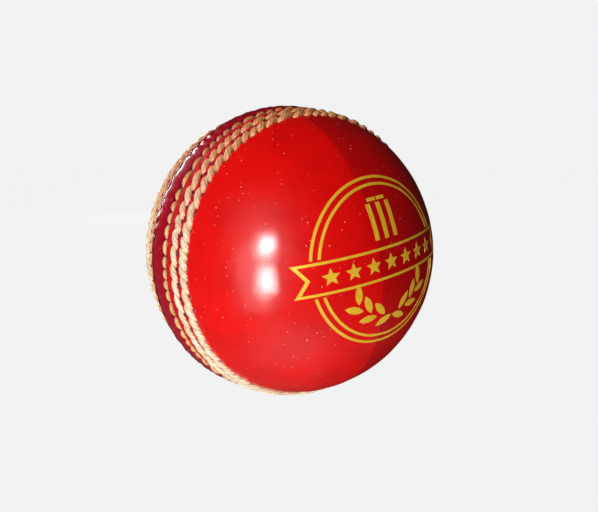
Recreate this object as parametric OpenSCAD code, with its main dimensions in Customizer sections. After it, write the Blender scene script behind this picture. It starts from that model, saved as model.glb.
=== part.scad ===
// Four-piece cricket ball: a wound core, two lining cups, four leather quarters,
// six rows of seam stitching and a gold foil stamp.
//
// Frame: the origin is the centre of the ball. Y is the seam's axis, so the two
// halves meet in the XZ plane. The front half, which carries the stamp, is at -Y.

/* [Cover] */
// Radius of the leather cover, away from the seam
ball_r = 35.95; // [35.5:0.05:36.3]
// Thickness of the leather
leather_t = 3.0; // [2.6:0.1:3.4]
// Thickness of the lining cups under the leather
lining_t = 0.9; // [0.7:0.1:1.2]

/* [Core] */
// Radius of the cork and rubber nucleus
nucleus_r = 12.5; // [11:0.5:14]
// Thickness of one cork wrap
cork_t = 1.6; // [1.2:0.1:2]
// Gap between the two halves of a cork wrap
cork_gap = 0.3; // [0.2:0.1:0.6]

/* [Seam] */
// Distance round the cover from the joint to the inner row of stitches
inner_row_at = 4.7; // [4.3:0.1:5.1]
// Distance round the cover from the joint to the middle row
middle_row_at = 8.4; // [8.1:0.1:8.7]
// Distance round the cover from the joint to the outer row
outer_row_at = 11.7; // [11.4:0.1:12.3]
// Thickness of the closing thread in the inner row
inner_thread_d = 1.1; // [0.8:0.05:1.2]
// Thickness of the thread in the middle row
middle_thread_d = 1.55; // [1.3:0.05:1.7]
// Thickness of the thread in the outer row
outer_thread_d = 1.6; // [1.3:0.05:1.8]
// Height of the inner row above the cover
inner_thread_rise = 0.45; // [0.2:0.05:0.6]
// Height of the middle row above the cover
middle_thread_rise = 0.6; // [0.4:0.05:0.8]
// Height of the outer row above the cover
outer_thread_rise = 0.7; // [0.4:0.05:0.9]
// Height of the rounded ridge of leather along the joint
ridge_rise = 0.75; // [0.5:0.05:1]
// Radius of that ridge's rounding across the joint
ridge_curve_r = 6; // [5:0.25:7]

/* [Quarters] */
// Lean of the front quarter seam from upright, towards -X
lean = 8; // [0:1:12]
// Thickness of the hidden thread that joins two quarters
quarter_thread_d = 0.8; // [0.5:0.1:1]
// Angle at which that thread stops short of the joint
quarter_thread_stop = 9; // [8:1:14]

/* [Stamp] */
// Radius of the stamp's outer ring
stamp_r = 18; // [15:0.5:19]
// Thickness of the foil
foil_t = 0.06; // [0.04:0.01:0.1]
// Width of the stamp's lines
line_w = 0.55; // [0.4:0.05:0.8]
// Turn of the stamp's centre from the pole of the front half, towards +X
stamp_swing = 4; // [0:0.1:9]
// Turn of the stamp's centre from that pole, upwards
stamp_lift = 4; // [0:0.1:6]

/* [Hidden] */
$fn = 128;

// Round surfaces that seat in one another keep this clearance
seat = 0.02;
// The three rows of stitches on each half, and their places in the lists below
INNER = 0;
MIDDLE = 1;
OUTER = 2;
row_at = [inner_row_at, middle_row_at, outer_row_at];
thread_d = [inner_thread_d, middle_thread_d, outer_thread_d];
thread_rise = [inner_thread_rise, middle_thread_rise, outer_thread_rise];
front = true;
back = false;

// Radii of the cover's layers
leather_in_r = ball_r - leather_t;
core_r = leather_in_r - lining_t;
// The core is five yarn windings with a cork wrap between each two
yarn_windings = 5;
cork_wraps = yarn_windings - 1;
yarn_t = (core_r - nucleus_r - cork_wraps * cork_t) / yarn_windings;
// Inside radius of yarn winding i and of cork wrap i, counted from 1
function yarn_in_r(i) = nucleus_r + (i - 1) * (yarn_t + cork_t);
function cork_in_r(i) = yarn_in_r(i) + yarn_t;
// Centre of a row's thread in the half section: x from the seam's axis, y from the joint
function row_angle(row) = row_at[row] / ball_r * 180 / PI;
function row_radius(row) = ball_r + thread_rise[row] - thread_d[row] / 2;
function row_centre(row) = row_radius(row) * [cos(row_angle(row)), sin(row_angle(row))];
// The hidden thread runs in the quarters' faces, just outside the lining
quarter_thread_r = leather_in_r + quarter_thread_d;
// Larger than any section through the ball
reach = 2 * ball_r;

// Stamp: inner ring, ribbon, stumps, stars and leaves
inner_ring_r = stamp_r - 1.5;
ribbon_half_w = stamp_r + 3;
ribbon_half_h = 3.4;
ribbon_notch = 2.2;
ribbon_stars = 7;
stump_w = 1.1;
stump_pitch = 2.6;
stump_h = 7.5;
stump_foot = 5;
bail_h = 0.7;
bail_gap = 0.45;
leaf_count = 6;
leaf_r = 11.5;
leaf_len = 4.4;
leaf_w = 1.6;
star_points = 5;

// ---------- helpers ----------

// A hollow ball
module shell(outer_r, inner_r) {
    difference() {
        sphere(r = outer_r);
        sphere(r = inner_r);
    }
}

// Turns children made about +Z so that they lie about the pole of a half, at -Y or +Y
module on_half(is_front) {
    if (is_front)
        rotate([90, 0, 0]) children();
    else
        mirror([0, 1, 0]) rotate([90, 0, 0]) children();
}

// A ring of round thread about +Z, in the place of a row
module row_ring(row, extra = 0) {
    rotate_extrude()
        translate(row_centre(row)) circle(d = thread_d[row] + 2 * extra);
}

// Half section of a leather cup: plain cover, ridge at the joint, grooves for the rows
module cup_section() {
    intersection() {
        difference() {
            union() {
                circle(r = ball_r);
                translate([ball_r + ridge_rise - ridge_curve_r, 0]) circle(r = ridge_curve_r);
            }
            circle(r = leather_in_r);
            for (row = [INNER, MIDDLE, OUTER])
                translate(row_centre(row)) circle(d = thread_d[row] + 2 * seat);
        }
        square(reach);
    }
}

// The hidden thread: an arc over the pole, in the XZ plane of its own half
module quarter_arc(stop, extra = 0) {
    rotate([90, 0, 180])
        rotate([0, 0, stop])
            rotate_extrude(angle = 180 - 2 * stop)
                translate([quarter_thread_r, 0]) circle(d = quarter_thread_d + 2 * extra);
}

// One leather quarter: half of a cup, from the direction turn, grooved for its thread
module quarter(is_front, turn) {
    on_half(is_front) rotate([0, 0, turn])
        difference() {
            rotate_extrude(angle = 180) cup_section();
            quarter_arc(quarter_thread_stop - 1, seat);
        }
}

// The thread that joins the two quarters of a half
module quarter_thread(is_front, turn) {
    on_half(is_front) rotate([0, 0, turn]) quarter_arc(quarter_thread_stop);
}

// Half of the lining
module lining_cup(is_front) {
    on_half(is_front)
        intersection() {
            shell(leather_in_r, core_r);
            translate([-reach / 2, -reach / 2, 0]) cube([reach, reach, reach]);
        }
}

// A cork wrap in two halves, with a gap across the given direction
module cork_wrap(i, gap_turn) {
    inner_r = cork_in_r(i);
    rotate(gap_turn)
        difference() {
            shell(inner_r + cork_t, inner_r);
            cube([reach, reach, cork_gap], center = true);
        }
}

module yarn_winding(i) {
    shell(yarn_in_r(i) + yarn_t, yarn_in_r(i));
}

// ---------- stamp outlines, upright in the XY plane ----------

module ring_2d(r) {
    difference() {
        circle(r = r);
        circle(r = r - line_w);
    }
}

module star_2d(r) {
    polygon([for (i = [0 : 2 * star_points - 1])
        let (angle = 90 + i * 180 / star_points)
        (i % 2 == 0 ? r : 0.45 * r) * [cos(angle), sin(angle)]]);
}

// A leaf between two arcs, along X
module leaf_2d() {
    arc_r = (leaf_len * leaf_len + leaf_w * leaf_w) / (4 * leaf_w);
    intersection() {
        translate([0, arc_r - leaf_w / 2]) circle(r = arc_r);
        translate([0, leaf_w / 2 - arc_r]) circle(r = arc_r);
    }
}

// A ribbon with swallow tails, shrunk by inset on every side
module ribbon_2d(inset) {
    w = ribbon_half_w - 2 * inset;
    h = ribbon_half_h - inset;
    notch = ribbon_half_w - ribbon_notch - 1.5 * inset;
    polygon([[-w, -h], [w, -h], [notch, 0], [w, h], [-w, h], [-notch, 0]]);
}

module ribbon_line_2d() {
    difference() {
        ribbon_2d(0);
        ribbon_2d(line_w);
    }
    pitch = 2 * (ribbon_half_w - ribbon_notch) / (ribbon_stars + 1);
    for (i = [1 : ribbon_stars])
        translate([(i - (ribbon_stars + 1) / 2) * pitch, 0]) star_2d(0.55 * ribbon_half_h);
}

// Three stumps with two bails
module wicket_2d() {
    for (i = [-1 : 1])
        translate([i * stump_pitch - stump_w / 2, stump_foot]) square([stump_w, stump_h]);
    for (side = [-1, 1])
        translate([side * stump_pitch / 2, stump_foot + stump_h + bail_gap + bail_h / 2])
            square([stump_pitch - bail_gap, bail_h], center = true);
}

// Two sprays of leaves under the ribbon
module leaves_2d() {
    for (side = [0, 1], i = [0 : leaf_count - 1])
        mirror([side, 0])
            rotate(-80 + i * 10)
                translate([leaf_r + (i % 2 == 0 ? 1.3 : -1.3), 0])
                    rotate(i % 2 == 0 ? 60 : 120) leaf_2d();
}

module stamp_2d() {
    difference() {
        union() {
            ring_2d(stamp_r);
            ring_2d(inner_ring_r);
        }
        ribbon_2d(-line_w);
    }
    ribbon_line_2d();
    wicket_2d();
    leaves_2d();
}

// ---------- sub-parts ----------

module nucleus() {
    color("saddlebrown") sphere(r = nucleus_r);
}

module yarn_winding_1() { color("wheat") yarn_winding(1); }
module yarn_winding_2() { color("wheat") yarn_winding(2); }
module yarn_winding_3() { color("wheat") yarn_winding(3); }
module yarn_winding_4() { color("wheat") yarn_winding(4); }
module yarn_winding_5() { color("wheat") yarn_winding(5); }

module cork_wrap_1() { color("burlywood") cork_wrap(1, [0, 0, 0]); }
module cork_wrap_2() { color("burlywood") cork_wrap(2, [90, 0, 0]); }
module cork_wrap_3() { color("burlywood") cork_wrap(3, [0, 90, 0]); }
module cork_wrap_4() { color("burlywood") cork_wrap(4, [0, 0, 0]); }

module lining_cup_front() { color("tan") lining_cup(front); }
module lining_cup_back() { color("tan") lining_cup(back); }

// The back half's quarter seam is a quarter turn from the front's
module leather_front_left() { color("crimson") quarter(front, 90 + lean); }
module leather_front_right() { color("firebrick") quarter(front, 270 + lean); }
module leather_back_upper() { color("crimson") quarter(back, lean); }
module leather_back_lower() { color("firebrick") quarter(back, 180 + lean); }

module quarter_thread_front() { color("ivory") quarter_thread(front, 90 + lean); }
module quarter_thread_back() { color("ivory") quarter_thread(back, lean); }

module stitch_row_front_inner() { color("peru") on_half(front) row_ring(INNER); }
module stitch_row_front_middle() { color("bisque") on_half(front) row_ring(MIDDLE); }
module stitch_row_front_outer() { color("bisque") on_half(front) row_ring(OUTER); }
module stitch_row_back_inner() { color("peru") on_half(back) row_ring(INNER); }
module stitch_row_back_middle() { color("bisque") on_half(back) row_ring(MIDDLE); }
module stitch_row_back_outer() { color("bisque") on_half(back) row_ring(OUTER); }

// Foil on the leather, centred near the pole of the front half
module foil_stamp() {
    color("gold")
        intersection() {
            shell(ball_r + seat / 2 + foil_t, ball_r + seat / 2);
            rotate([-stamp_lift, 0, stamp_swing]) rotate([0, -lean, 0])
                on_half(front) linear_extrude(height = reach) stamp_2d();
        }
}

nucleus();
yarn_winding_1();
cork_wrap_1();
yarn_winding_2();
cork_wrap_2();
yarn_winding_3();
cork_wrap_3();
yarn_winding_4();
cork_wrap_4();
yarn_winding_5();
lining_cup_front();
lining_cup_back();
leather_front_left();
leather_front_right();
leather_back_upper();
leather_back_lower();
quarter_thread_front();
quarter_thread_back();
stitch_row_front_inner();
stitch_row_front_middle();
stitch_row_front_outer();
stitch_row_back_inner();
stitch_row_back_middle();
stitch_row_back_outer();
foil_stamp();
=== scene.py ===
"""Looks for a four-piece cricket ball: stitched leather quarters over a wound core.

Lengths are in millimetres until a mesh is made. A place on the cover is given by a turn
round the seam's axis, in radians, by the distance in mm from the joint towards the half's
pole, and by the height in mm above the plain cover. The back half is the front half turned
half way round Z, so that its stitches keep the same slant and twist.
"""

import math

import bmesh
import bpy
import numpy as np
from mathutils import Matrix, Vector


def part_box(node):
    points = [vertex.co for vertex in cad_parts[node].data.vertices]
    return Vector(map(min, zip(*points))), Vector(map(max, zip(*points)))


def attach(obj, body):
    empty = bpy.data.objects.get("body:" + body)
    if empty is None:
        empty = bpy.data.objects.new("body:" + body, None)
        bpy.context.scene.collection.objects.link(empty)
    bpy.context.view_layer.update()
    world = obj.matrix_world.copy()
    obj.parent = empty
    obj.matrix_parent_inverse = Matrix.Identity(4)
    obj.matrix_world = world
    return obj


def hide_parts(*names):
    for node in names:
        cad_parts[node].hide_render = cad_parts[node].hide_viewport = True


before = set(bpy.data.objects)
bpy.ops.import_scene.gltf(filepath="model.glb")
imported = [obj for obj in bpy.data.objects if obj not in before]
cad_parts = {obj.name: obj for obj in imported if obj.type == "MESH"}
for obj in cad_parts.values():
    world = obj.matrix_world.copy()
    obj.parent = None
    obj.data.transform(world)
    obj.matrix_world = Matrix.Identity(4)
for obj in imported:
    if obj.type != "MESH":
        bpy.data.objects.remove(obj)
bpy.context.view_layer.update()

MM = 0.001
BODY = "root"
FRONT, BACK = "front", "back"
HALVES = (FRONT, BACK)


def box_mm(node):
    """A node's lowest and highest corners, in mm."""
    low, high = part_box(node)
    return np.array(low) / MM, np.array(high) / MM


# ---------- sizes from the frame ----------

BALL_R = -box_mm("leather_front_left")[0][1]
RIDGE_RISE = -box_mm("leather_front_left")[0][2] - BALL_R
LEATHER_IN_R = box_mm("lining_cup_front")[1][2]
FLOOR_Z = box_mm("leather_front_left")[0][2] * MM
POLE = math.pi / 2 * BALL_R
QUARTER_LEAN = math.radians(8)
LEAN_COS, LEAN_SIN = math.cos(QUARTER_LEAN), math.sin(QUARTER_LEAN)


class Row:
    """One row of stitches, placed by its ring of thread in the frame."""

    def __init__(self, name, count, travel, overlap):
        low, high = box_mm(f"stitch_row_front_{name}")
        self.name = name
        self.thread = high[1] - low[1]
        axial = -(low[1] + high[1]) / 2
        radial = high[2] - self.thread / 2
        angle = math.atan2(axial, radial)
        self.at = angle * BALL_R
        self.rise = math.hypot(axial, radial) + self.thread / 2 - BALL_R
        self.count = count
        self.pitch = 2 * math.pi * (BALL_R * math.cos(angle)) / count
        self.travel = travel
        self.overlap = overlap


# Stitches in the row, sideways travel of one stitch in mm, and its length over the pitch
ROWS = {
    "inner": Row("inner", 75, 0.35, 1.12),
    "middle": Row("middle", 68, 1.4, 1.26),
    "outer": Row("outer", 75, 1.5, 1.30),
}

# ---------- places on the ball ----------


def place(half, turn, at, height):
    """Points in mm: turn round the seam's axis, distance from the joint, height."""
    angle = np.asarray(at) / BALL_R
    radius = BALL_R + np.asarray(height)
    side = 1 if half == FRONT else -1
    x = -side * np.sin(turn) * np.cos(angle) * radius
    y = -side * np.sin(angle) * radius
    z = np.cos(turn) * np.cos(angle) * radius
    return np.stack(np.broadcast_arrays(x, y, z), axis=-1)


def seam_turn(half):
    """The turn at which a quarter seam of the half leaves the joint."""
    return QUARTER_LEAN if half == FRONT else math.pi / 2 - QUARTER_LEAN


# Plane waves in a noise, and their shortest and longest as shares of its scale
WAVE_COUNT = 24
WAVE_LENGTHS = (0.7, 1.6)


def waves(points, scale_mm, seed):
    """Smooth noise of about unit size: a sum of plane waves with seeded directions."""
    rng = np.random.default_rng(seed)
    directions = rng.normal(size=(WAVE_COUNT, 3))
    directions /= np.linalg.norm(directions, axis=1)[:, None]
    lengths = scale_mm * rng.uniform(*WAVE_LENGTHS, WAVE_COUNT)
    phases = rng.uniform(0, 2 * math.pi, WAVE_COUNT)
    total = np.zeros(points.shape[:-1])
    for direction, length, phase in zip(directions, lengths, phases):
        total += np.sin(points @ direction * (2 * math.pi / length) + phase)
    return total / math.sqrt(WAVE_COUNT / 2)


def bump(distance, width):
    """A smooth hill of height 1 and the given half width."""
    return np.exp(-((distance / width) ** 2))


def fade(distance, softness):
    """A share that falls smoothly from 1 to 0 where the distance passes zero."""
    return 1 / (1 + np.exp(distance / softness))


# ---------- mesh helpers ----------

# Edges bent more than this many degrees stay sharp on cut pieces
SHARP_DEG = 40


def new_piece(name, vertices_mm, face_groups, material, nodes, sharp_deg=None):
    """Makes an object from vertices in mm and arrays of faces, and ties it to the frame."""
    mesh = bpy.data.meshes.new(name)
    groups = [np.atleast_2d(np.asarray(g, dtype=np.int32)) for g in face_groups]
    sizes = np.concatenate([np.full(len(g), g.shape[1]) for g in groups])
    loops = np.concatenate([g.ravel() for g in groups])
    mesh.vertices.add(len(vertices_mm))
    mesh.vertices.foreach_set("co", (np.asarray(vertices_mm) * MM).astype(np.float32).ravel())
    mesh.loops.add(len(loops))
    mesh.loops.foreach_set("vertex_index", loops)
    mesh.polygons.add(len(sizes))
    starts = np.concatenate([[0], np.cumsum(sizes)[:-1]])
    mesh.polygons.foreach_set("loop_start", starts.astype(np.int32))
    mesh.update(calc_edges=True)
    mesh.shade_smooth()
    if sharp_deg is not None:
        mesh.set_sharp_from_angle(angle=math.radians(sharp_deg))
    mesh.materials.append(material)
    piece = bpy.data.objects.new(name, mesh)
    bpy.context.collection.objects.link(piece)
    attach(piece, BODY)
    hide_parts(*nodes)
    return piece


def keep_numbers(piece, name, values):
    """Keeps one number per vertex for the piece's material."""
    attribute = piece.data.attributes.new(name, "FLOAT", "POINT")
    attribute.data.foreach_set("value", np.asarray(values, dtype=np.float32))


def grid_faces(rows, columns, wrap=False, start=0, flip=False):
    """Quads of a grid of points stored row by row; wrap joins the last column to the first."""
    i = np.arange(rows - 1)[:, None]
    j = np.arange(columns if wrap else columns - 1)[None, :]
    after = (j + 1) % columns
    below, above = i * columns, (i + 1) * columns
    corners = (below + j, below + after, above + after, above + j)
    quads = np.stack(np.broadcast_arrays(*corners), axis=-1).reshape(-1, 4) + start
    return quads[:, ::-1] if flip else quads


# ---------- where the stitches are ----------

# Slow changes of spacing: cycles round the row, and least and most size in stitches
SPACING_CYCLES = (3, 5, 8, 13)
SPACING_SIZES = (0.1, 0.3)
# Turns searched for stitch ends: how far past a full round, and in how many steps
SEARCH_PAST, SEARCH_STEPS = 0.5, 6000


def stitch_phase(row, half, turn):
    """Counts stitches round the row: whole numbers are the middles of stitches."""
    rng = np.random.default_rng([ord(row.name[0]), HALVES.index(half)])
    phase = np.asarray(turn) * row.count / (2 * math.pi)
    for cycles in SPACING_CYCLES:
        size = rng.uniform(*SPACING_SIZES)
        phase = phase + size * np.sin(cycles * np.asarray(turn) + rng.uniform(0, 2 * math.pi))
    return phase


def stitch_spans(row, half):
    """The turns at which each stitch starts and ends."""
    turns = np.linspace(-SEARCH_PAST, 2 * math.pi + SEARCH_PAST, SEARCH_STEPS)
    phases = stitch_phase(row, half, turns)
    middles = math.ceil(stitch_phase(row, half, 0.0)) + np.arange(row.count)
    starts = np.interp(middles - row.overlap / 2, phases, turns)
    ends = np.interp(middles + row.overlap / 2, phases, turns)
    return zip(starts, ends)


def along_from(row, half, turn, shift):
    """Distance in mm along the row from the nearest place that is shift past a middle."""
    offset = stitch_phase(row, half, turn) - shift
    return (offset - np.round(offset)) * row.pitch


# ---------- leather ----------

# A quarter's grid: columns across it, fine rows in the stitched band that ends at BAND_END
# mm, rows from there to the pole, and rows inside
COLUMNS = 440
BAND_END = 14.6
BAND_STEP = 0.2
OPEN_ROWS = 56
INSIDE_ROWS = 12
# Grid lines beside a cut edge of the leather, in mm from it
EDGE_LINES = (0.05, 0.12, 0.21, 0.32, 0.45)
# The ridge along the joint: half width in mm, power of its side's fall, and how much of its
# height the pull of the stitches takes
RIDGE_REACH = 4.1
RIDGE_POWER = 1.5
RIDGE_SCALLOP = 0.12
# Depth and half width in mm of the joint, of each row's channel and of its holes
JOINT = (0.2, 0.16)
CHANNEL = {"inner": (0.2, 0.8), "middle": (0.26, 0.85), "outer": (0.3, 0.85)}
HOLE = {"inner": (0.3, 0.42), "middle": (0.34, 0.46), "outer": (0.42, 0.5)}
# How much further apart a stitch's holes lie than its ends: along the row in pitches, and
# across it in mm
HOLES_AHEAD, HOLES_BESIDE = 0.36, 0.7
# Beyond the outer row: how far the leather puckers, and the height and half width in mm of
# the fold at each stitch and of the roll along the row
PUCKER_REACH = 0.9
FOLD = (0.07, 0.5)
ROLL = (0.05, 0.6)
# Depth and half width in mm of a quarter seam and of the dip it lies in
QUARTER_SEAM = (0.05, 0.13)
QUARTER_DIP = (0.05, 1.8)
# Where the open leather begins and over what distance, in mm; height and size in mm of its
# unevenness, and seed
OPEN_FROM, OPEN_OVER = 12.5, 1.5
UNEVEN = ((0.045, 24, 5), (0.016, 7, 6))
# Share of full darkening on each feature, and softness in mm of two edges: painted shade in the
# stitch channels and holes and on the seam's ridge and band, and dark joint lines along the joint
# and the quarter seam
SHADE_AND_JOINT_LINE = {"joint": 0.8, "channel": 0.55, "hole": 0.6, "quarter": 0.45, "ridge": 0.26, "band": 0.3}
RIDGE_FADE, BAND_FADE = 0.2, 0.3


def ridge_height(half, turn, at):
    """Height of the ridge along the joint, with the line of the joint in it, and that line's
    darkness.
    """
    reach = np.clip(at / RIDGE_REACH, 0, 1)
    pull = np.cos(2 * math.pi * stitch_phase(ROWS["inner"], half, turn))
    scallop = 1 - RIDGE_SCALLOP + RIDGE_SCALLOP * pull
    depth, width = JOINT
    joint = bump(at, width)
    height = RIDGE_RISE * scallop * (1 - reach**2) ** RIDGE_POWER - depth * joint
    return height, SHADE_AND_JOINT_LINE["joint"] * joint


def press_row(row, half, turn, at, height, crease):
    """Presses a row's channel and the holes of its stitches into the leather, with painted shade in
    them.
    """
    depth, width = CHANNEL[row.name]
    channel = bump(at - row.at, width)
    height = height - depth * channel
    crease = crease + SHADE_AND_JOINT_LINE["channel"] * channel
    depth, width = HOLE[row.name]
    for end in (-0.5, 0.5):
        along = along_from(row, half, turn, end * (row.overlap + HOLES_AHEAD))
        across = at - row.at - end * (row.travel + HOLES_BESIDE)
        hole = bump(np.hypot(along, across), width)
        height = height - depth * hole
        crease = crease + SHADE_AND_JOINT_LINE["hole"] * hole
    return height, crease


def pucker(half, turn, at):
    """Depth of the folds and height of the roll beyond the outer row."""
    outer = ROWS["outer"]
    beyond = np.maximum(at - outer.at - outer.travel / 2, 0)
    share = np.where(beyond > 0, np.exp(-beyond / PUCKER_REACH), 0)
    from_end = along_from(outer, half, turn, outer.overlap / 2)
    folds = FOLD[0] * share * bump(from_end, FOLD[1])
    return folds, ROLL[0] * share * bump(beyond - PUCKER_REACH, ROLL[1])


def cover_height(half, turn, at):
    """The leather's height over the plain cover, its painted shade and dark joint lines, and how
    dull.
    """
    height, crease = ridge_height(half, turn, at)
    for row in ROWS.values():
        height, crease = press_row(row, half, turn, at, height, crease)
    folds, roll = pucker(half, turn, at)
    height = height - folds + roll
    from_seam = BALL_R * np.cos(at / BALL_R) * np.sin(turn - seam_turn(half))
    seam = bump(from_seam, QUARTER_SEAM[1])
    dip = bump(from_seam, QUARTER_DIP[1])
    is_open = np.clip((at - OPEN_FROM) / OPEN_OVER, 0, 1)
    height = height - QUARTER_SEAM[0] * seam - QUARTER_DIP[0] * is_open * dip
    points = place(half, turn, at, 0.0)
    uneven = sum(size * waves(points, scale_mm, seed) for size, scale_mm, seed in UNEVEN)
    height = height + is_open * uneven
    on_ridge = fade(at - RIDGE_REACH, RIDGE_FADE)
    in_band = fade(at - ROWS["outer"].at, BAND_FADE)
    # A dark line along the quarter seam, and painted shade on the seam's ridge and band
    crease = crease + SHADE_AND_JOINT_LINE["quarter"] * seam + SHADE_AND_JOINT_LINE["ridge"] * on_ridge
    crease = crease + SHADE_AND_JOINT_LINE["band"] * in_band
    return height, np.clip(crease, 0, 1), in_band - on_ridge


def quarter_grid(start):
    """Turns and distances of a quarter's grid lines, closer beside its cut edges."""
    lines = np.array(EDGE_LINES)
    angles = lines / BALL_R
    middle = np.linspace(angles[-1], math.pi - angles[-1], COLUMNS)[1:-1]
    turn = start + np.concatenate([[0], angles, middle, math.pi - angles[::-1], [math.pi]])
    band = np.arange(lines[-1] + BAND_STEP, BAND_END, BAND_STEP)
    at = np.concatenate([[0], lines, band, np.linspace(BAND_END, POLE, OPEN_ROWS)[:-1]])
    return turn, at


def quarter_faces(rows, inside_rows, columns):
    """Faces of a quarter: outside, inside, both poles' fans, and the cut edges."""
    outside_count = rows * columns
    outside_pole = outside_count + inside_rows * columns
    inside_pole = outside_pole + 1
    j = np.arange(columns - 1)
    last_outside = outside_count - columns + j
    last_inside = outside_pole - columns + j
    poles = np.ones_like(j)
    groups = [
        grid_faces(rows, columns),
        grid_faces(inside_rows, columns, start=outside_count, flip=True),
        np.stack([last_outside, last_outside + 1, outside_pole * poles], axis=1),
        np.stack([last_inside + 1, last_inside, inside_pole * poles], axis=1),
        np.stack([j + 1, j, outside_count + j, outside_count + j + 1], axis=1),
    ]
    for column, order in ((0, 1), (columns - 1, -1)):
        up = np.arange(rows) * columns + column
        down = outside_count + np.arange(inside_rows)[::-1] * columns + column
        groups.append(np.concatenate([up, [outside_pole, inside_pole], down])[::order])
    return groups


def leather_quarter(node, half, start, material):
    """A closed leather shell over half of a cup, from the turn start."""
    turn, at = quarter_grid(start)
    height, crease, dull = cover_height(half, turn[None, :], at[:, None])
    pole_height, pole_shade_and_joint_line, _ = cover_height(half, start, POLE)
    inside_at = np.linspace(0, POLE, INSIDE_ROWS)[:-1]
    inside_height = LEATHER_IN_R - BALL_R
    vertices = np.concatenate([
        place(half, turn[None, :], at[:, None], height).reshape(-1, 3),
        place(half, turn[None, :], inside_at[:, None], inside_height).reshape(-1, 3),
        [place(half, start, POLE, pole_height), place(half, start, POLE, inside_height)],
    ])
    faces = quarter_faces(len(at), len(inside_at), len(turn))
    piece = new_piece(f"{node}_cover", vertices, faces, material, [node], SHARP_DEG)
    hidden = np.zeros(len(inside_at) * len(turn))
    dull = np.broadcast_to(dull, crease.shape)
    # Painted shade and dark joint lines, kept for the material
    keep_numbers(piece, "crease", np.concatenate([crease.ravel(), hidden, [pole_shade_and_joint_line, 0]]))
    keep_numbers(piece, "dull", np.concatenate([dull.ravel(), hidden, [0, 0]]))


# ---------- stitches ----------

# A twisted thread: strands, points round it, depth of its grooves as a share of its radius,
# power of its strands' roundness, and their slant
STRANDS = 6
AROUND = 36
GROOVE = 0.17
STRAND_POWER = 0.7
TWIST = math.radians(33)
# Points along a stitch of each kind, and the seed of their differences
ROPE_STEPS, BEAD_STEPS = 30, 20
STITCH_SEED = 7
# Spread from stitch to stitch: sideways travel and width as shares, and place across the row
# and depth in mm
TRAVEL_SPREAD, WIDTH_SPREAD = 0.12, 0.03
ACROSS_SPREAD, SINK_SPREAD = 0.06, 0.03
# Points along a stitch: share of its length, share of its sideways travel, height of its
# middle in thread widths below its highest place, and share of the full thickness
ROPE_PATH = (
    (-0.5, -0.5, -1.1, 0.72), (-0.45, -0.49, -0.7, 0.8), (-0.36, -0.42, -0.4, 0.9),
    (-0.22, -0.27, -0.16, 1), (0, 0, -0.02, 1.05), (0.18, 0.28, 0, 1.08),
    (0.32, 0.47, -0.06, 1.06), (0.42, 0.52, -0.24, 1), (0.48, 0.46, -0.6, 0.88),
    (0.5, 0.4, -1.05, 0.74),
)
BEAD_PATH = (
    (-0.5, -0.5, -0.7, 0.4), (-0.4, -0.45, -0.36, 0.54), (-0.26, -0.3, -0.12, 0.86),
    (0, 0, 0, 1.12), (0.26, 0.3, -0.1, 0.92), (0.4, 0.45, -0.34, 0.58),
    (0.5, 0.5, -0.7, 0.4),
)
# Weights of a step's length and height in the measure along a path
STEP_WEIGHTS = (1, 0.35)


def smooth_path(path, steps):
    """Even steps along a smooth curve through a table's lines."""
    table = np.array(path)
    step = np.diff(table[:, [0, 2]], axis=0) * STEP_WEIGHTS
    knots = np.concatenate([[0], np.cumsum(np.linalg.norm(step, axis=1))])
    slopes = np.gradient(table, knots, axis=0)
    where = np.linspace(0, knots[-1], steps)
    k = np.clip(np.searchsorted(knots, where, side="right") - 1, 0, len(knots) - 2)
    span = (knots[k + 1] - knots[k])[:, None]
    u = (where - knots[k])[:, None] / span
    return (
        (2 * u**3 - 3 * u**2 + 1) * table[k] + (u**3 - 2 * u**2 + u) * span * slopes[k]
        + (3 * u**2 - 2 * u**3) * table[k + 1] + (u**3 - u**2) * span * slopes[k + 1]
    )


def unit(vectors):
    """The vectors at length 1."""
    return vectors / np.linalg.norm(vectors, axis=-1, keepdims=True)


def thread_tube(middle, up, radius, first_spin):
    """A twisted thread round a line of points, with its crest height from 0 to 1."""
    around = np.arange(AROUND) * 2 * math.pi / AROUND
    forward = unit(np.gradient(middle, axis=0))
    side = unit(np.cross(forward, up))
    out = np.cross(side, forward)
    run = np.concatenate([[0], np.cumsum(np.linalg.norm(np.diff(middle, axis=0), axis=1))])
    spin = first_spin + run * math.tan(TWIST) / radius.max()
    crest = np.abs(np.cos((around[None, :] - spin[:, None]) * STRANDS / 2)) ** STRAND_POWER
    reach = radius[:, None] * (1 - GROOVE * (1 - crest))
    points = (
        middle[:, None, :]
        + (reach * np.cos(around))[..., None] * side[:, None, :]
        + (reach * np.sin(around))[..., None] * out[:, None, :]
    )
    return points, crest


def stitch_faces(steps, start):
    """Faces of one stitch whose points begin at start: its side and its two ends."""
    j = np.arange(AROUND)
    after = (j + 1) % AROUND
    end_middles = start + steps * AROUND
    last_ring = start + (steps - 1) * AROUND
    return [
        grid_faces(steps, AROUND, wrap=True, start=start, flip=True),
        np.stack([np.full(AROUND, end_middles), start + j, start + after], axis=1),
        np.stack([np.full(AROUND, end_middles + 1), last_ring + after, last_ring + j], axis=1),
    ]


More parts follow.
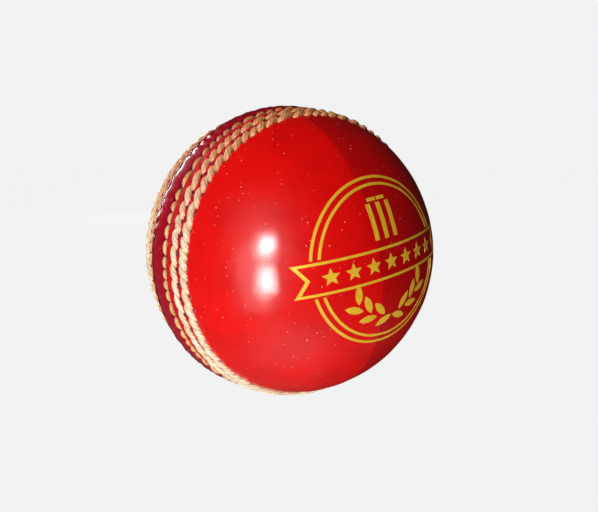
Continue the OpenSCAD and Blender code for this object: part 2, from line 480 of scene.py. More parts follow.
def stitch_row(half, row, path, steps, material):
    """All the stitches of a row as one piece: short lengths of twisted thread."""
    rng = np.random.default_rng([STITCH_SEED, ord(row.name[0]), HALVES.index(half)])
    table = smooth_path(path, steps)
    vertices, groups, crests, tones = [], [], [], []
    for number, (begin, end) in enumerate(stitch_spans(row, half)):
        _, travel, shift, sink, width = rng.normal(size=5)
        turn = begin + (table[:, 0] + 0.5) * (end - begin)
        across = table[:, 1] * row.travel * (1 + TRAVEL_SPREAD * travel) + ACROSS_SPREAD * shift
        height = row.rise + (table[:, 2] - 0.5) * row.thread - SINK_SPREAD * abs(sink)
        middle = place(half, turn, row.at + across, height)
        radius = row.thread / 2 * table[:, 3] * (1 + WIDTH_SPREAD * width)
        points, crest = thread_tube(middle, unit(middle), radius, rng.uniform(0, 2 * math.pi))
        vertices += [points.reshape(-1, 3), middle[[0, -1]]]
        groups += stitch_faces(steps, number * (steps * AROUND + 2))
        crests.append(np.append(crest, [0, 0]))
        tones.append(np.full(crest.size + 2, rng.uniform()))
    name = f"stitches_{half}_{row.name}"
    node = f"stitch_row_{half}_{row.name}"
    piece = new_piece(name, np.concatenate(vertices), groups, material, [node])
    keep_numbers(piece, "crest", np.concatenate(crests))
    keep_numbers(piece, "tone", np.concatenate(tones))


# ---------- hidden layers ----------

# Bands of yarn in a winding, turns side by side in a band, a turn's width in mm, and how
# far a band may lie off the middle, in widths
YARN_BANDS, YARN_TURNS = 26, 7
YARN_WIDTH, YARN_SHIFT = 1.9, 0.2
# Depths in mm: where no band lies, of the lowest band, and of the hollow between turns
YARN_BARE, YARN_LOWEST, YARN_HOLLOW = 0.6, 0.4, 0.45
# The hidden thread of a quarter seam: diameter in mm, its stop short of the joint, points
# along it, and its stain
QUARTER_THREAD_D = 0.8
QUARTER_THREAD_STOP = math.radians(9)
QUARTER_THREAD_STEPS = 420
QUARTER_THREAD_TONE = 0.3
# Each cork wrap's halves meet in a plane square to its axis
CORK_AXES = ((0, 0, 1), (0, 1, 0), (1, 0, 0), (0, 0, 1))
# Gap between two half shells, and the depth of their outside's texture, in mm
CORK_GAP, CORK_GRAIN = 0.3, 0.08
CUP_GAP, SUEDE_NAP = 0.04, 0.02
# Rows and columns of points in a half shell, its texture's size in mm and seed, and a
# direction that lies along no shell's axis
SHELL_GRID = (72, 240)
SHELL_NOISE = (1.8, 41)
OFF_AXIS = (0.3, 0.5, 0.8)
# Grains of the nucleus: half height in mm, and the share, size in mm and seed of each kind
NUCLEUS_GRAIN = 0.05
NUCLEUS_NOISE = ((1.0, 2.2, 31), (0.6, 1.2, 32))
# Divisions of a round layer's surface
ROUND_DIVISIONS = 7


def round_surface():
    """Evenly spread points on a unit ball, and their triangles."""
    bm = bmesh.new()
    bmesh.ops.create_icosphere(bm, subdivisions=ROUND_DIVISIONS, radius=1)
    bm.verts.index_update()
    points = np.array([v.co for v in bm.verts])
    faces = np.array([[v.index for v in f.verts] for f in bm.faces])
    bm.free()
    return unit(points), faces


def wound_height(points, seed):
    """Height in mm below the top, and crest, of yarn wound in bands one over another."""
    rng = np.random.default_rng(seed)
    height = np.full(len(points), -YARN_BARE)
    crest = np.zeros(len(points))
    for band in range(YARN_BANDS):
        shift = points @ unit(rng.normal(size=3))
        across = shift - rng.uniform(-YARN_SHIFT, YARN_SHIFT) * YARN_WIDTH
        turns = across / YARN_WIDTH
        profile = np.sqrt(np.clip(1 - (2 * (turns - np.round(turns))) ** 2, 0, 1))
        inside = np.abs(turns) < YARN_TURNS / 2
        level = -YARN_LOWEST * (1 - band / YARN_BANDS)
        height = np.where(inside, level + YARN_HOLLOW * (profile - 1), height)
        crest = np.where(inside, profile, crest)
    return height, crest


def yarn_winding(number, surface, material):
    """One layer of wound yarn: a shell whose outside shows the strands."""
    directions, faces = surface
    node = f"yarn_winding_{number}"
    outer_r = box_mm(node)[1][2]
    under = "nucleus" if number == 1 else f"cork_wrap_{number - 1}"
    inner_r = box_mm(under)[1][2]
    height, crest = wound_height(directions * outer_r, number)
    vertices = np.concatenate([directions * (outer_r + height)[:, None], directions * inner_r])
    groups = [faces, faces[:, ::-1] + len(directions)]
    piece = new_piece(f"wound_yarn_{number}", vertices, groups, material, [node])
    keep_numbers(piece, "crest", np.concatenate([crest, np.zeros(len(directions))]))


def nucleus(surface, material):
    """The cork and rubber ball at the middle, with a granular surface."""
    directions, faces = surface
    outer_r = box_mm("nucleus")[1][2]
    points = directions * outer_r
    grains = sum(share * waves(points, scale_mm, seed) for share, scale_mm, seed in NUCLEUS_NOISE)
    radius = outer_r - 2 * NUCLEUS_GRAIN + NUCLEUS_GRAIN * np.tanh(grains)
    vertices = directions * radius[:, None]
    new_piece("core_nucleus", vertices, [faces], material, ["nucleus"])


def half_shell(axis, gap, radii, texture, start):
    """A closed half shell about an axis, cut flat half a gap short of the middle."""
    rows, columns = SHELL_GRID
    axis = np.array(axis, dtype=float)
    first = unit(np.cross(axis, OFF_AXIS))
    second = np.cross(axis, first)
    turn = np.arange(columns) * 2 * math.pi / columns
    layers = []
    for radius, depth in zip(radii, (texture, 0)):
        rise = np.linspace(math.asin(gap / 2 / radius), math.pi / 2, rows)[:-1, None, None]
        flat = np.cos(turn)[:, None] * first + np.sin(turn)[:, None] * second
        directions = np.concatenate([
            (np.cos(rise) * flat + np.sin(rise) * axis).reshape(-1, 3), [axis],
        ])
        height = depth * (np.tanh(waves(directions * radius, *SHELL_NOISE)) - 1)
        layers.append(directions * (radius + height)[:, None])
    size = (rows - 1) * columns
    j = np.arange(columns)
    after = (j + 1) % columns
    groups = []
    for base, way in ((start, 1), (start + size + 1, -1)):
        pole = base + size
        fan = np.stack([pole - columns + j, pole - columns + after, np.full(columns, pole)], axis=1)
        groups += [grid_faces(rows - 1, columns, wrap=True, start=base)[:, ::way], fan[:, ::way]]
    inner = start + size + 1
    groups.append(np.stack([start + after, start + j, inner + j, inner + after], axis=1))
    return np.concatenate(layers), groups


def cork_wrap(number, axis, material):
    """A wrap of cork sheet in two halves, with a gap between them."""
    node = f"cork_wrap_{number}"
    outer_r = np.abs(box_mm(node)).max()
    inner_r = box_mm(f"yarn_winding_{number}")[1][2]
    vertices, groups, start = [], [], 0
    for side in (1, -1):
        outward = np.array(axis) * side
        points, faces = half_shell(outward, CORK_GAP, (outer_r, inner_r), CORK_GRAIN, start)
        vertices.append(points)
        groups += faces
        start += len(points)
    vertices = np.concatenate(vertices)
    new_piece(f"cork_sheet_{number}", vertices, groups, material, [node], SHARP_DEG)


def lining_cup(half, material):
    """The thin leather cup under two quarters."""
    node = f"lining_cup_{half}"
    axis = (0, -1, 0) if half == FRONT else (0, 1, 0)
    radii = (LEATHER_IN_R, box_mm("yarn_winding_5")[1][2])
    points, faces = half_shell(axis, CUP_GAP, radii, SUEDE_NAP, 0)
    new_piece(f"lining_{half}", points, faces, material, [node], SHARP_DEG)


def quarter_thread(half, material):
    """The hidden thread that joins two quarters: a long twisted length over the pole."""
    node = f"quarter_thread_{half}"
    low, high = box_mm(node)
    radius = max(-low[1], high[1]) - QUARTER_THREAD_D / 2
    last = math.pi - QUARTER_THREAD_STOP
    sweep = np.linspace(QUARTER_THREAD_STOP, last, QUARTER_THREAD_STEPS)
    over = seam_turn(half) * np.ones_like(sweep)
    middle = place(half, over, sweep * BALL_R, radius - BALL_R)
    widths = np.full(len(sweep), QUARTER_THREAD_D / 2)
    points, crest = thread_tube(middle, unit(middle), widths, 0.0)
    ends = [np.arange(AROUND), crest.size - 1 - np.arange(AROUND)]
    groups = [grid_faces(QUARTER_THREAD_STEPS, AROUND, wrap=True, flip=True), *ends]
    vertices = points.reshape(-1, 3)
    piece = new_piece(f"quarter_seam_{half}", vertices, groups, material, [node])
    keep_numbers(piece, "crest", crest.ravel())
    keep_numbers(piece, "tone", np.full(crest.size, QUARTER_THREAD_TONE))


# ---------- foil stamp ----------

# The emblem, in mm: its outer ring's radius, its lines' width and the step between its rings,
# and its turns about the ball's Z and X
STAMP_R = 18.0
STAMP_SWING, STAMP_LIFT = math.radians(4), math.radians(4)
LINE = 0.55
RING_GAP = 1.5
RING_STEPS = 49
RIBBON_HALF_W, RIBBON_HALF_H, RIBBON_NOTCH = STAMP_R + 3, 3.4, 2.2
# Stars on the ribbon: how many, their points, their radius in mm and waist as a share of it
STARS, STAR_POINTS = 7, 5
STAR_R, STAR_WAIST = 0.55 * RIBBON_HALF_H, 0.45
STUMP_W, STUMP_PITCH, STUMP_H, STUMP_FOOT = 1.1, 2.6, 7.5, 5.0
BAIL_H, BAIL_GAP = 0.7, 0.45
# Leaves of half the spray: how many, the spray's radius, a leaf's length, width and place
# off the spray in mm, its splay, and the turns of the first leaf and to the next
LEAVES, LEAF_R, LEAF_LEN, LEAF_W, LEAF_OFF = 6, 11.5, 4.4, 1.6, 1.3
LEAF_SPLAY, LEAF_FIRST, LEAF_NEXT = 30, -80, 10
LEAF_STEPS = 9
# The foil's top and underside over the leather, in mm
FOIL_ABOVE, FOIL_BELOW = 0.045, -0.03
# Cuts that let the foil bend: their spacing in mm, and places beside the quarter seam
SLICE = 0.8
SEAM_SLICES = (-0.36, -0.26, -0.17, -0.09, 0, 0.09, 0.17, 0.26, 0.36)
# Points nearer than these, in mm, become one where outlines join and where they are cut
JOIN_MM, CUT_MM = 1e-5, 1e-4


def turned(points, angle_deg):
    """Flat points turned about the origin."""
    a = math.radians(angle_deg)
    return np.asarray(points) @ np.array([[math.cos(a), math.sin(a)], [-math.sin(a), math.cos(a)]])


def strip(outer, inner):
    """Quads between two outlines of equal length."""
    return [[outer[i], outer[i + 1], inner[i + 1], inner[i]] for i in range(len(outer) - 1)]


def ring_arcs(radius):
    """A ring's upper and lower parts, stopping at the ribbon."""
    quads = []
    stop = math.asin((RIBBON_HALF_H + LINE) / radius)
    for first in (stop, math.pi + stop):
        angle = np.linspace(first, first + math.pi - 2 * stop, RING_STEPS)
        circle = np.stack([np.cos(angle), np.sin(angle)], axis=1)
        quads += strip(circle * radius, circle * (radius - LINE))
    return quads


def star(x):
    """A star on the ribbon's middle line."""
    corners = np.arange(2 * STAR_POINTS)
    angle = np.radians(90 + corners * 180 / STAR_POINTS)
    reach = np.where(corners % 2 == 0, STAR_R, STAR_WAIST * STAR_R)
    return np.stack([x + reach * np.cos(angle), reach * np.sin(angle)], axis=1)


def leaf(x, turn_deg):
    """A leaf between two arcs, at x along the spray and turned."""
    arc_r = (LEAF_LEN**2 + LEAF_W**2) / (4 * LEAF_W)
    half = math.asin(LEAF_LEN / 2 / arc_r)
    angle = np.linspace(-half, half, LEAF_STEPS)
    upper = np.stack([arc_r * np.sin(angle), arc_r * np.cos(angle) - (arc_r - LEAF_W / 2)], axis=1)
    outline = np.concatenate([upper, -upper[1:-1]])
    return turned(outline, turn_deg) + (x, 0)


def upright_bar(x, width, foot, height):
    """A rectangle about x that stands on the height foot."""
    left, right, top = x - width / 2, x + width / 2, foot + height
    return [(left, foot), (right, foot), (right, top), (left, top)]


def ribbon_outline(inset):
    """The ribbon's edge, or a line inside it, with a notch at each end."""
    w, h = RIBBON_HALF_W - 2 * inset, RIBBON_HALF_H - inset
    notch = RIBBON_HALF_W - RIBBON_NOTCH - 1.5 * inset
    return [(-w, -h), (w, -h), (notch, 0), (w, h), (-w, h), (-notch, 0), (-w, -h)]


def stamp_outlines():
    """Every filled outline of the emblem, upright and flat, in mm."""
    shapes = ring_arcs(STAMP_R) + ring_arcs(STAMP_R - RING_GAP)
    shapes += strip(ribbon_outline(0), ribbon_outline(LINE))
    pitch = 2 * (RIBBON_HALF_W - RIBBON_NOTCH) / (STARS + 1)
    shapes += [star((i - (STARS - 1) / 2) * pitch) for i in range(STARS)]
    for i in (-1, 0, 1):
        shapes.append(upright_bar(i * STUMP_PITCH, STUMP_W, STUMP_FOOT, STUMP_H))
    bail_foot = STUMP_FOOT + STUMP_H + BAIL_GAP
    for side in (-1, 1):
        x = side * STUMP_PITCH / 2
        shapes.append(upright_bar(x, STUMP_PITCH - BAIL_GAP, bail_foot, BAIL_H))
    for i in range(LEAVES):
        side = 1 if i % 2 == 0 else -1
        upright = leaf(LEAF_R + LEAF_OFF * side, 90 - LEAF_SPLAY * side)
        outline = turned(upright, LEAF_FIRST + LEAF_NEXT * i)
        shapes += [outline, outline[::-1] * (-1, 1)]
    return shapes


def stamp_axes():
    """Directions of the stamp's right, up and out in the ball's frame."""
    cs, ss = math.cos(STAMP_SWING), math.sin(STAMP_SWING)
    cl, sl = math.cos(STAMP_LIFT), math.sin(STAMP_LIFT)
    swing = np.array([[cs, -ss, 0], [ss, cs, 0], [0, 0, 1]])
    lift = np.array([[1, 0, 0], [0, cl, sl], [0, -sl, cl]])
    lean = np.array([[LEAN_COS, 0, -LEAN_SIN], [0, 1, 0], [LEAN_SIN, 0, LEAN_COS]])
    matrix = swing @ lift @ lean
    return matrix @ (1, 0, 0), matrix @ (0, 0, 1), matrix @ (0, -1, 0)


def bend_cuts(right, up, out):
    """Places and directions of the flat emblem's cuts: even, and beside the quarter seam."""
    seam_side = np.array([LEAN_COS, 0, LEAN_SIN])
    flat_side = np.array([right @ seam_side, up @ seam_side])
    bend = out @ seam_side * BALL_R
    cuts = [((x, 0, 0), (1, 0, 0)) for x in np.arange(-RIBBON_HALF_W, RIBBON_HALF_W, SLICE)]
    cuts += [((0, y, 0), (0, 1, 0)) for y in np.arange(-STAMP_R, STAMP_R, SLICE)]
    for shift in SEAM_SLICES:
        point = flat_side * (shift - bend) / (flat_side @ flat_side)
        cuts.append(((*point, 0), (*flat_side, 0)))
    return cuts


def flat_stamp(cuts):
    """The emblem as flat points and triangles that all face up."""
    bm = bmesh.new()
    for outline in stamp_outlines():
        bm.faces.new([bm.verts.new((x, y, 0)) for x, y in outline])
    bmesh.ops.remove_doubles(bm, verts=bm.verts, dist=JOIN_MM)
    bmesh.ops.triangulate(bm, faces=bm.faces)
    for point, normal in cuts:
        geometry = bm.verts[:] + bm.edges[:] + bm.faces[:]
        bmesh.ops.bisect_plane(bm, geom=geometry, plane_co=point, plane_no=normal, dist=CUT_MM)
    bmesh.ops.triangulate(bm, faces=bm.faces)
    bmesh.ops.recalc_face_normals(bm, faces=bm.faces)
    bm.verts.index_update()
    flat = np.array([v.co[:2] for v in bm.verts])
    faces = np.array([[v.index for v in f.verts] for f in bm.faces])
    bm.free()
    first = flat[faces[:, 1]] - flat[faces[:, 0]]
    second = flat[faces[:, 2]] - flat[faces[:, 0]]
    backwards = first[:, 0] * second[:, 1] - first[:, 1] * second[:, 0] < 0
    faces[backwards] = faces[backwards][:, ::-1]
    return flat, faces


def rim_walls(faces, count):
    """Quads that join the rim of a sheet of triangles to its copy, count points further on."""
    edges = np.concatenate([faces[:, [0, 1]], faces[:, [1, 2]], faces[:, [2, 0]]])
    known = {(a, b) for a, b in edges.tolist()}
    rim = np.array([(a, b) for a, b in edges.tolist() if (b, a) not in known])
    return np.stack([rim[:, 0], rim[:, 0] + count, rim[:, 1] + count, rim[:, 1]], axis=1)


def foil_stamp(material):
    """The emblem as thin foil that follows the leather, with edges."""
    right, up, out = stamp_axes()
    flat, faces = flat_stamp(bend_cuts(right, up, out))
    depth = np.sqrt(BALL_R**2 - (flat**2).sum(axis=1))
    points = flat[:, :1] * right + flat[:, 1:] * up + depth[:, None] * out
    turn = np.arctan2(-points[:, 0], points[:, 2])
    at = np.arcsin(-points[:, 1] / BALL_R) * BALL_R
    height, _, _ = cover_height(FRONT, turn, at)
    sheets = [place(FRONT, turn, at, height + over) for over in (FOIL_ABOVE, FOIL_BELOW)]
    vertices = np.concatenate(sheets)
    groups = [faces, faces[:, ::-1] + len(points), rim_walls(faces, len(points))]
    new_piece("foil_emblem", vertices, groups, material, ["foil_stamp"], SHARP_DEG)


# ---------- materials ----------


def colour(r, g, b):
    """An opaque colour from its linear red, green and blue."""
    return (r, g, b, 1.0)


# The b quarters' red is darker: partly a tone of their own, partly painted shade on the ball's
# shaded side
RED_A, RED_B_TONE_AND_SHADE = colour(0.72, 0.003, 0.002), colour(0.46, 0.002, 0.002)
RED_BLOTCH, RED_SHADE_AND_JOINT_LINE = colour(0.48, 0.002, 0.003), colour(0.085, 0.001, 0.02)
DUST = colour(0.85, 0.45, 0.42)
# Thread colours and their stains; a stain colour also serves as painted shade towards the top and
# in the grooves
CREAM, CREAM_STAIN_AND_SHADE = colour(0.94, 0.79, 0.55), colour(0.7, 0.28, 0.08)
TAN, TAN_STAIN_AND_SHADE = colour(0.84, 0.5, 0.18), colour(0.52, 0.18, 0.05)
# Painted shade in the grooves between a thread's strands
THREAD_GROOVE_SHADE = colour(0.09, 0.02, 0.01)
GOLD, GOLD_DEEP, GOLD_WORN = (
    colour(1.0, 0.68, 0.04), colour(0.8, 0.42, 0.02), colour(0.5, 0.06, 0.01))
# Wool colours; the last is painted shade between the yarn's turns
WOOL, WOOL_DEEP, WOOL_GROOVE_SHADE = (
    colour(0.72, 0.66, 0.55), colour(0.55, 0.47, 0.36), colour(0.12, 0.09, 0.06))
# Light grains, dark grains and binder
CORK = (colour(0.58, 0.38, 0.2), colour(0.42, 0.24, 0.11), colour(0.16, 0.08, 0.04))
CORK_RUBBER = (colour(0.3, 0.16, 0.07), colour(0.16, 0.08, 0.04), colour(0.02, 0.018, 0.016))
SUEDE, SUEDE_BLOTCH, SUEDE_WORN = (
    colour(0.5, 0.33, 0.2), colour(0.36, 0.21, 0.11), colour(0.62, 0.46, 0.3))
WHITE = colour(1, 1, 1)
FLOOR_BASE, FLOOR_GLOW = colour(0.006, 0.006, 0.006), 0.885
# Noises in the materials: size of their features in mm, detail and roughness
LEATHER_PATCHES, LEATHER_POLISH = (9, 4, 0.6), (1.6, 4, 0.65)
THREAD_PATCHES, WOOL_PATCHES = (3.5, 3, 0.55), (4, 3, 0.55)
GOLD_PATCHES, GOLD_WEAR, GOLD_POLISH = (1.4, 4, 0.55), (0.5, 5, 0.7), (0.3, 3, 0.55)
SUEDE_PATCHES, SUEDE_WEAR = (5, 4, 0.6), (0.5, 3, 0.55)
# Noises shown in relief: depth in mm, then the same
LEATHER_PORES, LEATHER_GRAIN = (0.028, 0.5, 4, 0.7), (0.022, 2.2, 3, 0.55)
THREAD_FIBRE, WOOL_FIBRE = (0.03, 0.12, 3, 0.55), (0.06, 0.15, 4, 0.7)
GOLD_RIPPLE, SUEDE_FIBRE = (0.01, 0.2, 3, 0.55), (0.06, 0.2, 5, 0.7)
CORK_PITS, CORK_BEVEL_DEPTH = (0.05, 0.4, 4, 0.55), 0.15
# Spacing and radius in mm of small and large dust specks, and the share of places they take
SMALL_DUST, LARGE_DUST = (0.9, 0.15, 0.45), (3.0, 0.24, 0.25)
# Heights in m between which the threads go from clean to darker and more orange: painted shade and
# painted red bounce light towards the top
TOP_SHADE_FROM, TOP_SHADE_TO = 0.004, 0.028
# Size of a cork grain in mm, and share of grains as dark as the binder in cork and in rubber
CORK_GRAIN_SIZE = 1.5
CORK_DARK, RUBBER_DARK = 0.06, 0.45


class Nodes:
    """The node tree of a material or a world, built with short calls."""

    def __init__(self, owner):
        owner.use_nodes = True
        self.tree = owner.node_tree

    def add(self, kind, inputs=None, **settings):
        """A node with its settings, and its inputs as numbers or as sockets to link."""
        node = self.tree.nodes.new(kind)
        for key, value in settings.items():
            setattr(node, key, value)
        for key, value in (inputs or {}).items():
            self.feed(node.inputs[key], value)
        return node

    def feed(self, socket, value):
        """Gives an input a number, or links a socket to it."""
        if isinstance(value, bpy.types.NodeSocket):
            self.tree.links.new(value, socket)
        else:
            socket.default_value = value

    def math(self, operation, a, b):
        """The result of a sum or a test on two numbers."""
        return self.add("ShaderNodeMath", {0: a, 1: b}, operation=operation).outputs[0]

    def ramp(self, value, span, result=(0.0, 1.0)):
        """A number carried smoothly from a span of values to a span of results."""
        names = ("Value", "From Min", "From Max", "To Min", "To Max")
        inputs = dict(zip(names, (value, *span, *result)))
        return self.add("ShaderNodeMapRange", inputs, interpolation_type="SMOOTHSTEP").outputs[0]

    def choose(self, test, yes, no):
        """One of two numbers, by a test that is 0 or 1."""
        return self.add("ShaderNodeMix", {0: test, 2: no, 3: yes}).outputs[0]


class Surface(Nodes):
    """A material with the patterns that the pieces share."""

    def __init__(self, name):
        self.material = bpy.data.materials.new(name)
        super().__init__(self.material)
        self.object = self.add("ShaderNodeTexCoord").outputs["Object"]

    def number(self, name):
        """A number that the mesh keeps for each vertex."""
        return self.add("ShaderNodeAttribute", attribute_name=name).outputs["Fac"]

    def pattern(self, kind, size_mm, inputs=None, **settings):
        """A pattern fixed to the ball, with features about size_mm across."""
        inputs = {"Vector": self.object, "Scale": 1 / (size_mm * MM), **(inputs or {})}
        return self.add(kind, inputs, **settings).outputs

    def noise(self, size_mm, detail, roughness):
        """Noise from 0 to 1 with features about size_mm across."""
        inputs = {"Detail": detail, "Roughness": roughness}
        return self.pattern("ShaderNodeTexNoise", size_mm, inputs)["Fac"]

    def mix(self, share, a, b):
        """Colour a turned towards colour b."""
        node = self.add("ShaderNodeMix", data_type="RGBA")
        for index, value in ((0, share), (6, a), (7, b)):
            self.feed(node.inputs[index], value)
        return node.outputs[2]

    def bump(self, height, depth_mm, before=None):
        """A normal that shows a height from 0 to 1 as so many mm, over another normal."""
        inputs = {"Height": height, "Distance": depth_mm * MM, "Strength": 1.0}
        if before is not None:
            inputs["Normal"] = before
        return self.add("ShaderNodeBump", inputs).outputs["Normal"]

    def relief(self, depth_mm, *noise, before=None):
        """A normal that shows a noise in relief."""
        return self.bump(self.noise(*noise), depth_mm, before)

    def channels(self, value):
        """Red, green and blue of a colour."""
        return self.add("ShaderNodeSeparateColor", {0: value}).outputs

    def specks(self, spacing_mm, radius_mm, share):
        """Round specks in some cells of a pattern: 1 inside a speck, 0 outside."""
        cells = self.pattern("ShaderNodeTexVoronoi", spacing_mm)
        picks = self.channels(cells["Color"])
        chosen = self.math("LESS_THAN", picks[0], share)
        size = self.math("MULTIPLY", picks[1], radius_mm / spacing_mm)
        inside = self.math("LESS_THAN", cells["Distance"], size)
        return self.math("MULTIPLY", chosen, inside)

    def finish(self, **inputs):
        """Feeds the shader's inputs and gives the material."""
        shader = self.tree.nodes["Principled BSDF"]
        for key, value in inputs.items():
            self.feed(shader.inputs[key.replace("_", " ")], value)
        return self.material


def leather_material(name, red):
    """Polished dyed leather: painted shade in the seam's channels, holes, ridge and band, dark
    joint lines, fine grain, dust specks.
    """
    m = Surface(name)
    dull = m.number("dull")
    blotches = m.ramp(m.noise(*LEATHER_PATCHES), (0.35, 0.7), (0, 0.4))
    shade_and_joint_lines = m.ramp(m.number("crease"), (0.05, 0.95), (0, 0.96))
    dust = m.math("MAXIMUM", m.specks(*SMALL_DUST), m.specks(*LARGE_DUST))
    # Painted shade and dark joint lines turn the red deeper
    base = m.mix(shade_and_joint_lines, m.mix(blotches, red, RED_BLOTCH), RED_SHADE_AND_JOINT_LINE)
    base = m.mix(m.math("MULTIPLY", dust, 0.6), base, DUST)
    polish = m.ramp(m.noise(*LEATHER_POLISH), (0.3, 0.7), (0.30, 0.42))
    rough = m.math("MAXIMUM", polish, m.ramp(dull, (0, 1), (0, 0.75)))
    grain = m.relief(*LEATHER_GRAIN, before=m.relief(*LEATHER_PORES))
    return m.finish(
        Base_Color=base, Roughness=rough, Normal=grain, Specular_IOR_Level=0.15,
        Coat_Weight=m.ramp(dull, (0, 1), (0.75, 0.05)), Coat_Roughness=0.03, Coat_IOR=1.5,
        Coat_Normal=grain,
    )


def thread_material(name, light, stain_and_shade):
    """Waxed twisted thread: random stains, painted shade between its strands, and painted shade and
    red bounce light towards the top.
    """
    m = Surface(name)
    height = m.add("ShaderNodeSeparateXYZ", {0: m.object}).outputs["Z"]
    base = m.mix(m.ramp(m.number("tone"), (0, 1), (0, 0.3)), light, stain_and_shade)
    base = m.mix(m.ramp(m.noise(*THREAD_PATCHES), (0.45, 0.75), (0, 0.4)), base, stain_and_shade)
    # Painted shade and red bounce light: darker and more orange towards the top
    base = m.mix(m.ramp(height, (TOP_SHADE_FROM, TOP_SHADE_TO), (0, 0.9)), base, stain_and_shade)
    # Painted shade in the grooves between strands
    groove_shade = m.ramp(m.number("crest"), (0.05, 0.8), (0.95, 0))
    base = m.mix(groove_shade, base, m.mix(0.7, stain_and_shade, THREAD_GROOVE_SHADE))
    fibre = m.relief(*THREAD_FIBRE)
    return m.finish(
        Base_Color=base, Roughness=0.45, Normal=fibre, Specular_IOR_Level=0.5, Coat_Weight=0.3,
        Coat_Roughness=0.25, Coat_Normal=fibre,
    )


def foil_material():
    """Gold transfer: grainy, with worn spots that let the red through."""
    m = Surface("gold_foil")
    worn = m.ramp(m.noise(*GOLD_WEAR), (0.6, 0.72), (0, 0.85))
    base = m.mix(worn, m.mix(m.noise(*GOLD_PATCHES), GOLD, GOLD_DEEP), GOLD_WORN)
    rough = m.ramp(m.noise(*GOLD_POLISH), (0.3, 0.7), (0.28, 0.5))
    return m.finish(
        Base_Color=base, Metallic=0.25, Roughness=rough, Normal=m.relief(*GOLD_RIPPLE),
    )


def yarn_material():
    """Worsted wool yarn: fibrous, grey-white, with painted shade between its turns."""
    m = Surface("wool_yarn")
    # Painted shade between the yarn's turns
    groove_shade = m.ramp(m.number("crest"), (0.1, 0.8), (0.8, 0))
    base = m.mix(groove_shade, m.mix(m.noise(*WOOL_PATCHES), WOOL, WOOL_DEEP), WOOL_GROOVE_SHADE)
    fibre = m.relief(*WOOL_FIBRE)
    return m.finish(Base_Color=base, Roughness=0.9, Normal=fibre, Sheen_Weight=0.3)


def cork_material(name, dark_share, colours):
    """Bound cork granules: each grain has its own tone, with dark binder between."""
    m = Surface(name)
    light, dark, binder = colours
    cells = ("ShaderNodeTexVoronoi", CORK_GRAIN_SIZE)
    grains = m.channels(m.pattern(*cells)["Color"])
    edges = m.pattern(*cells, feature="DISTANCE_TO_EDGE")["Distance"]
    base = m.mix(grains[0], light, dark)
    base = m.mix(m.math("LESS_THAN", grains[1], dark_share), base, binder)
    base = m.mix(m.ramp(edges, (0, 0.09), (0.85, 0)), base, binder)
    bevels = m.bump(m.ramp(edges, (0, 0.12)), CORK_BEVEL_DEPTH)
    pits = m.relief(*CORK_PITS, before=bevels)
    return m.finish(Base_Color=base, Roughness=0.85, Normal=pits)


def lining_material():
    """Undyed split leather: suede nap with blotches."""
    m = Surface("lining_leather")
    worn = m.ramp(m.noise(*SUEDE_WEAR), (0.4, 0.7), (0, 0.4))
    base = m.mix(worn, m.mix(m.noise(*SUEDE_PATCHES), SUEDE, SUEDE_BLOTCH), SUEDE_WORN)
    nap = m.relief(*SUEDE_FIBRE)
    return m.finish(Base_Color=base, Roughness=0.92, Normal=nap, Sheen_Weight=0.2)


def floor_material():
    """A plain pale floor that glows like the background and takes almost no light."""
    return Surface("pale_floor").finish(
        Base_Color=FLOOR_BASE, Roughness=0.9, Specular_IOR_Level=0.0,
        Emission_Color=WHITE, Emission_Strength=FLOOR_GLOW,
    )


# ---------- the ball ----------


def build_ball():
    """All the pieces, from the cover inwards."""
    red_a = leather_material("red_leather_a", RED_A)
    # Darker red of the b quarters: their own tone and painted shade
    red_b_tone_and_shade = leather_material("red_leather_b", RED_B_TONE_AND_SHADE)
    lean = QUARTER_LEAN
    leather_quarter("leather_front_left", FRONT, lean, red_a)
    leather_quarter("leather_front_right", FRONT, lean - math.pi, red_b_tone_and_shade)
    leather_quarter("leather_back_upper", BACK, -math.pi / 2 - lean, red_a)
    leather_quarter("leather_back_lower", BACK, math.pi / 2 - lean, red_b_tone_and_shade)
    cream = thread_material("cream_thread", CREAM, CREAM_STAIN_AND_SHADE)
    tan = thread_material("tan_thread", TAN, TAN_STAIN_AND_SHADE)
    for half in HALVES:
        for name in ("outer", "middle"):
            stitch_row(half, ROWS[name], ROPE_PATH, ROPE_STEPS, cream)
        stitch_row(half, ROWS["inner"], BEAD_PATH, BEAD_STEPS, tan)
    foil_stamp(foil_material())
    build_core(cream)


def build_core(thread):
    """The hidden pieces inside the cover."""
    surface = round_surface()
    nucleus(surface, cork_material("cork_rubber", RUBBER_DARK, CORK_RUBBER))
    yarn = yarn_material()
    for number in range(1, len(CORK_AXES) + 2):
        yarn_winding(number, surface, yarn)
    cork = cork_material("bound_cork", CORK_DARK, CORK)
    for number, axis in enumerate(CORK_AXES, start=1):
        cork_wrap(number, axis, cork)
    lining = lining_material()
    for half in HALVES:
        lining_cup(half, lining)
        quarter_thread(half, thread)


# ---------- camera, floor and light ----------

CAMERA_AZIMUTH, CAMERA_ELEVATION = -31.75, 9.31
CAMERA_DISTANCE = 4 * BALL_R * MM
CAMERA_LENS, CAMERA_SENSOR = 33.18, 36
CAMERA_SHIFT = (0.01355, -0.00936)
CAMERA_NEAR, CAMERA_FAR = 0.005, 20
FLOOR_HALF, FLOOR_SQUARES = 12.0, 8
# Strength of the background, and of the surroundings that reflections and lit surfaces see:
# their brightest direction, the cosines between which they brighten towards it, and their
# least and most strength
BACKGROUND = 0.888
GLOSS_SIDE = ((-140, -50), (0.4, 0.98), (0.008, 0.10))
GLOW_SIDE = ((-80, -20), (-0.6, 0.9), (0.01, 0.12))


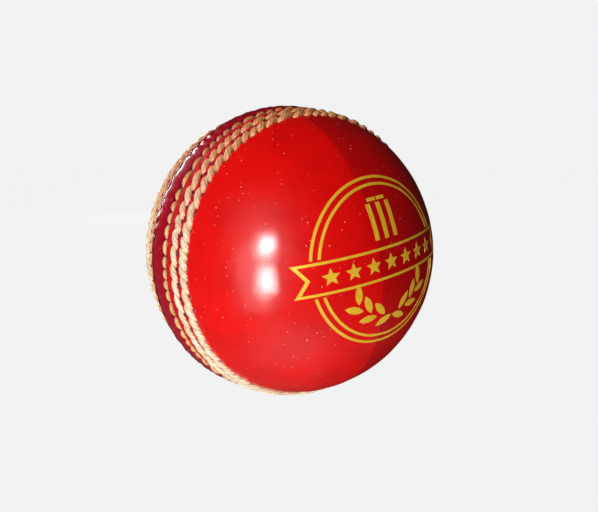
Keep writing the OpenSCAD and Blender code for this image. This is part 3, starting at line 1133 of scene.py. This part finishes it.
def toward(azimuth_deg, elevation_deg):
    """A direction from the ball: azimuth 0 is -Y and 90 is +X."""
    azimuth, elevation = math.radians(azimuth_deg), math.radians(elevation_deg)
    flat = math.cos(elevation)
    return Vector((math.sin(azimuth) * flat, -math.cos(azimuth) * flat, math.sin(elevation)))


def aim(thing, out, distance):
    """Puts a camera or light out from the ball, looking at it."""
    thing.location = out * distance
    thing.rotation_mode = "QUATERNION"
    thing.rotation_quaternion = (-out).to_track_quat("-Z", "Y")
    bpy.context.collection.objects.link(thing)


def add_camera():
    """The camera, fitted to the ball's outline and the rows of its seam."""
    data = bpy.data.cameras.new("camera")
    data.lens, data.sensor_width = CAMERA_LENS, CAMERA_SENSOR
    data.shift_x, data.shift_y = CAMERA_SHIFT
    data.clip_start, data.clip_end = CAMERA_NEAR, CAMERA_FAR
    camera = bpy.data.objects.new("camera", data)
    aim(camera, toward(CAMERA_AZIMUTH, CAMERA_ELEVATION), CAMERA_DISTANCE)
    bpy.context.scene.camera = camera


def add_floor():
    """A wide floor under the ball that only the camera sees."""
    bm = bmesh.new()
    bmesh.ops.create_grid(bm, x_segments=FLOOR_SQUARES, y_segments=FLOOR_SQUARES, size=FLOOR_HALF)
    mesh = bpy.data.meshes.new("floor")
    bm.to_mesh(mesh)
    bm.free()
    floor = bpy.data.objects.new("floor", mesh)
    floor.location.z = FLOOR_Z
    floor.visible_diffuse = False
    floor.visible_glossy = False
    floor.visible_shadow = False
    bpy.context.collection.objects.link(floor)
    mesh.materials.append(floor_material())


def add_world():
    """Even pale background; surroundings that light and gloss see are dim on the right."""
    world = bpy.data.worlds.new("studio")
    bpy.context.scene.world = world
    nodes = Nodes(world)
    direction = nodes.add("ShaderNodeTexCoord").outputs["Generated"]
    path = nodes.add("ShaderNodeLightPath").outputs

    def side(axis, span, strengths):
        """A strength that grows towards an axis."""
        inputs = {0: direction, 1: toward(*axis)}
        along = nodes.add("ShaderNodeVectorMath", inputs, operation="DOT_PRODUCT")
        return nodes.ramp(along.outputs["Value"], span, strengths)

    strength = nodes.choose(path["Is Glossy Ray"], side(*GLOSS_SIDE), side(*GLOW_SIDE))
    strength = nodes.choose(path["Is Camera Ray"], BACKGROUND, strength)
    background = nodes.tree.nodes["Background"].inputs
    nodes.feed(background["Strength"], strength)
    nodes.feed(background["Color"], WHITE)


# Name, azimuth and elevation, distance and size in m, watts, and where a light shows: "gloss"
# in reflections, "glow" on the surfaces it lights
LIGHTS = (
    ("key", (-58, 27), 0.5, (0.28, 0.28), 2.5, "glow"),
    ("bounce", (-30, -66), 0.5, (0.4, 0.4), 2.7, "glow"),
    ("fill_right", (70, -45), 0.5, (0.3, 0.3), 0.35, "glow"),
    ("key_behind", (158, 5), 0.5, (0.3, 0.3), 2.9, "glow"),
    ("window_upper", (-50, 12), 1, (0.14, 0.2), 6, "gloss"),
    ("window_lower", (-50, -12), 1, (0.12, 0.31), 6, "gloss"),
    ("window_haze", (-60, -13), 1, (0.45, 0.85), 2.2, "gloss"),
    ("window_behind", (-165, 20), 1, (0.045, 0.6), 3.6, "gloss"),
)


def add_light(name, direction, distance, size, watts, seen):
    """A rectangular light facing the ball."""
    data = bpy.data.lights.new(name, "AREA")
    data.shape = "RECTANGLE"
    data.size, data.size_y = size
    data.energy = watts
    light = bpy.data.objects.new(name, data)
    aim(light, toward(*direction), distance)
    light.visible_camera = False
    light.visible_glossy = seen == "gloss"
    light.visible_diffuse = seen == "glow"


build_ball()
add_camera()
add_floor()
add_world()
for light_row in LIGHTS:
    add_light(*light_row)
bpy.context.scene.view_settings.view_transform = "Standard"
